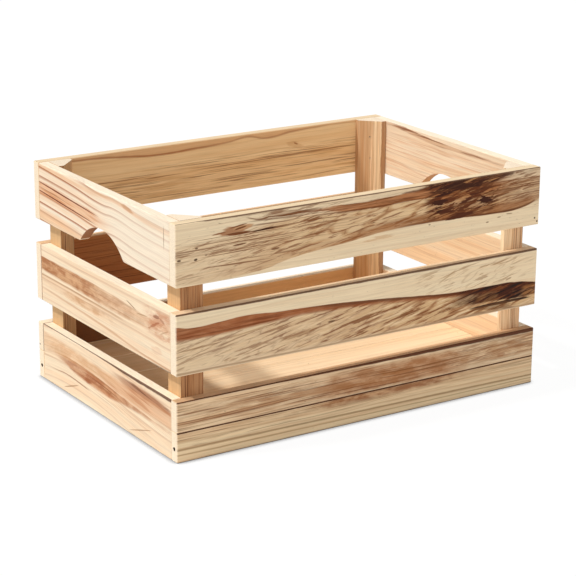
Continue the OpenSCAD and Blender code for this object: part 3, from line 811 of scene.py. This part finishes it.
class CRATE_OT_floor(bpy.types.Operator):
    """Finish the floor boards and the bearers under them"""
    bl_idname = "crate.floor"
    bl_label = "Floor and bearers"

    def execute(self, context):
        for number in range(1, 6):
            dress(f"floor_board_{number}", "flat", {
                "seed": 61.0 + number, "warmth": 0.8, "pale": "#FBE4C2", "warm": "#F2CFA4",
                "rings": (9.0, 0.2), "uneven": 2.0, "pores": 0.1, "bands": FLOOR_SHADE_BANDS,
            })
        for number, place in enumerate(("left", "middle", "right")):
            dress(f"bearer_{place}", "right", {
                "seed": 71.0 + number, "warmth": 0.9, "pale": "#DDB588", "warm": "#C08A58",
                "rings": (6.0, 0.3),
            })
        return {"FINISHED"}


class CRATE_OT_nails(bpy.types.Operator):
    """Finish the nails"""
    bl_idname = "crate.nails"
    bl_label = "Nails"

    def execute(self, context):
        material = bpy.data.materials.new("Bright drawn steel wire")
        material.use_nodes = True
        tree = material.node_tree
        tree.nodes.clear()
        # Drawn wire, dulled by handling: a grey metal with uneven gloss
        place = add(tree, "ShaderNodeTexCoord", out="Object")
        dull = add(tree, "ShaderNodeTexNoise", {0: place, 2: 900.0, 3: 2.0})
        gloss = add(tree, "ShaderNodeMapRange", {0: dull, 3: 0.3, 4: 0.55})
        tone = lay(tree, linear("#8C8A86"), linear("#6E6760"), dull)
        surface = add(tree, "ShaderNodeBsdfPrincipled", {
            "Base Color": tone, "Metallic": 1.0, "Roughness": gloss,
        })
        add(tree, "ShaderNodeOutputMaterial", {0: surface}, out=None)
        for name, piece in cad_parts.items():
            if name.startswith("nails_"):
                piece.data.materials.clear()
                piece.data.materials.append(material)
        return {"FINISHED"}


class CRATE_OT_stage(bpy.types.Operator):
    """Set up the floor, the light and the camera"""
    bl_idname = "crate.stage"
    bl_label = "Stage"

    def execute(self, context):
        stage = context.scene.crate_stage
        bpy.ops.object.select_all(action="DESELECT")
        bpy.ops.mesh.primitive_plane_add(size=12, location=(0, 0, 0))
        floor = context.object
        floor.name = "studio_floor"
        material = bpy.data.materials.new("White paper sweep")
        material.use_nodes = True
        tree = material.node_tree
        tree.nodes.clear()
        # Matt white paper: the camera sees it as white, a little greyer where a shadow falls, and darker
        # close to the crate, where ambient occlusion paints contact shade into its glow; all other light
        # finds it a plain pale floor
        painted_contact_shade = add(tree, "ShaderNodeAmbientOcclusion", {"Distance": 0.012}, out="AO", samples=8)
        painted_contact_shade = add(tree, "ShaderNodeMapRange", {0: painted_contact_shade, 1: 0.45, 2: 0.8, 3: 0.35, 4: 0.95})
        glow = add(tree, "ShaderNodeEmission", {0: (1, 1, 1, 1), 1: painted_contact_shade})
        thin = add(tree, "ShaderNodeBsdfDiffuse", {0: linear("#4A4948")})
        white = add(tree, "ShaderNodeAddShader", {0: glow, 1: thin})
        paper = add(tree, "ShaderNodeBsdfDiffuse", {0: linear("#E6E4E1")})
        surface = add(tree, "ShaderNodeMixShader", {0: camera_sees(tree), 1: paper, 2: white})
        add(tree, "ShaderNodeOutputMaterial", {0: surface}, out=None)
        floor.data.materials.append(material)

        # Two lights from the left and a little behind, a high one that fills the crate and a lower one that
        # comes in between the boards of the left end, and a broad one from the front
        for name, strength, angle, way in (
            ("high_light", stage.high, 7, (-0.45, 0.16, 0.88)),
            ("side_light", stage.side, 4, (-0.6, 0.14, 0.78)),
            ("fill_light", stage.fill, 40, (-0.15, -0.95, 0.25)),
        ):
            bpy.ops.object.light_add(type="SUN", location=[2 * part for part in way])
            light = context.object
            light.name = name
            light.data.energy = strength
            light.data.angle = math.radians(angle)
            light.data.color = SUNLIGHT
            light.rotation_euler = Vector(way).to_track_quat("Z", "Y").to_euler()

        # A white room: even soft light on the crate, and white behind it
        world = bpy.data.worlds.new("Studio")
        world.use_nodes = True
        context.scene.world = world
        tree = world.node_tree
        tree.nodes.clear()
        strength = add(tree, "ShaderNodeMapRange", {0: camera_sees(tree), 3: stage.sky, 4: 1.0})
        sky = add(tree, "ShaderNodeBackground", {0: (1, 1, 1, 1), 1: strength})
        add(tree, "ShaderNodeOutputWorld", {0: sky}, out=None)

        bpy.ops.object.camera_add()
        camera = context.object
        camera.name = "camera"
        camera.data.lens = stage.lens
        camera.data.sensor_width = 36
        camera.data.clip_end = 50
        azimuth, elevation, roll = (math.radians(angle) for angle in VIEW_ANGLES.values())
        level = math.cos(elevation)
        back = Vector((math.sin(azimuth) * level, -math.cos(azimuth) * level, math.sin(elevation)))
        right = Vector((0, 0, 1)).cross(back).normalized()
        up = back.cross(right)
        turned_right = right * math.cos(roll) + up * math.sin(roll)
        turned_up = up * math.cos(roll) - right * math.sin(roll)
        camera.rotation_euler = Matrix((turned_right, turned_up, back)).transposed().to_euler()
        camera.location = (Vector(VIEW_TARGET) + back * VIEW_DISTANCE) / MM
        context.scene.camera = camera
        context.scene.view_settings.view_transform = "Standard"
        return {"FINISHED"}


class CRATE_PT_panel(bpy.types.Panel):
    """The crate's panel in the sidebar of the 3D view"""
    bl_label = "Crate"
    bl_space_type = "VIEW_3D"
    bl_region_type = "UI"
    bl_category = "Crate"

    def draw(self, context):
        layout = self.layout
        for group in (context.scene.crate_wood, context.scene.crate_stage):
            for name in group.__annotations__:
                layout.prop(group, name)
        for operator in OPERATORS:
            layout.operator(operator.bl_idname)


OPERATORS = (
    CRATE_OT_long_boards, CRATE_OT_end_boards, CRATE_OT_posts, CRATE_OT_floor, CRATE_OT_nails, CRATE_OT_stage,
)
CLASSES = (CrateWood, CrateStage) + OPERATORS + (CRATE_PT_panel,)


def register():
    for cls in CLASSES:
        bpy.utils.register_class(cls)
    bpy.types.Scene.crate_wood = PointerProperty(type=CrateWood)
    bpy.types.Scene.crate_stage = PointerProperty(type=CrateStage)


def unregister():
    del bpy.types.Scene.crate_stage
    del bpy.types.Scene.crate_wood
    for cls in reversed(CLASSES):
        bpy.utils.unregister_class(cls)


def main():
    register()
    bpy.ops.crate.long_boards()
    bpy.ops.crate.end_boards()
    bpy.ops.crate.posts()
    bpy.ops.crate.floor()
    bpy.ops.crate.nails()
    bpy.ops.crate.stage()


if __name__ == "__main__":
    main()
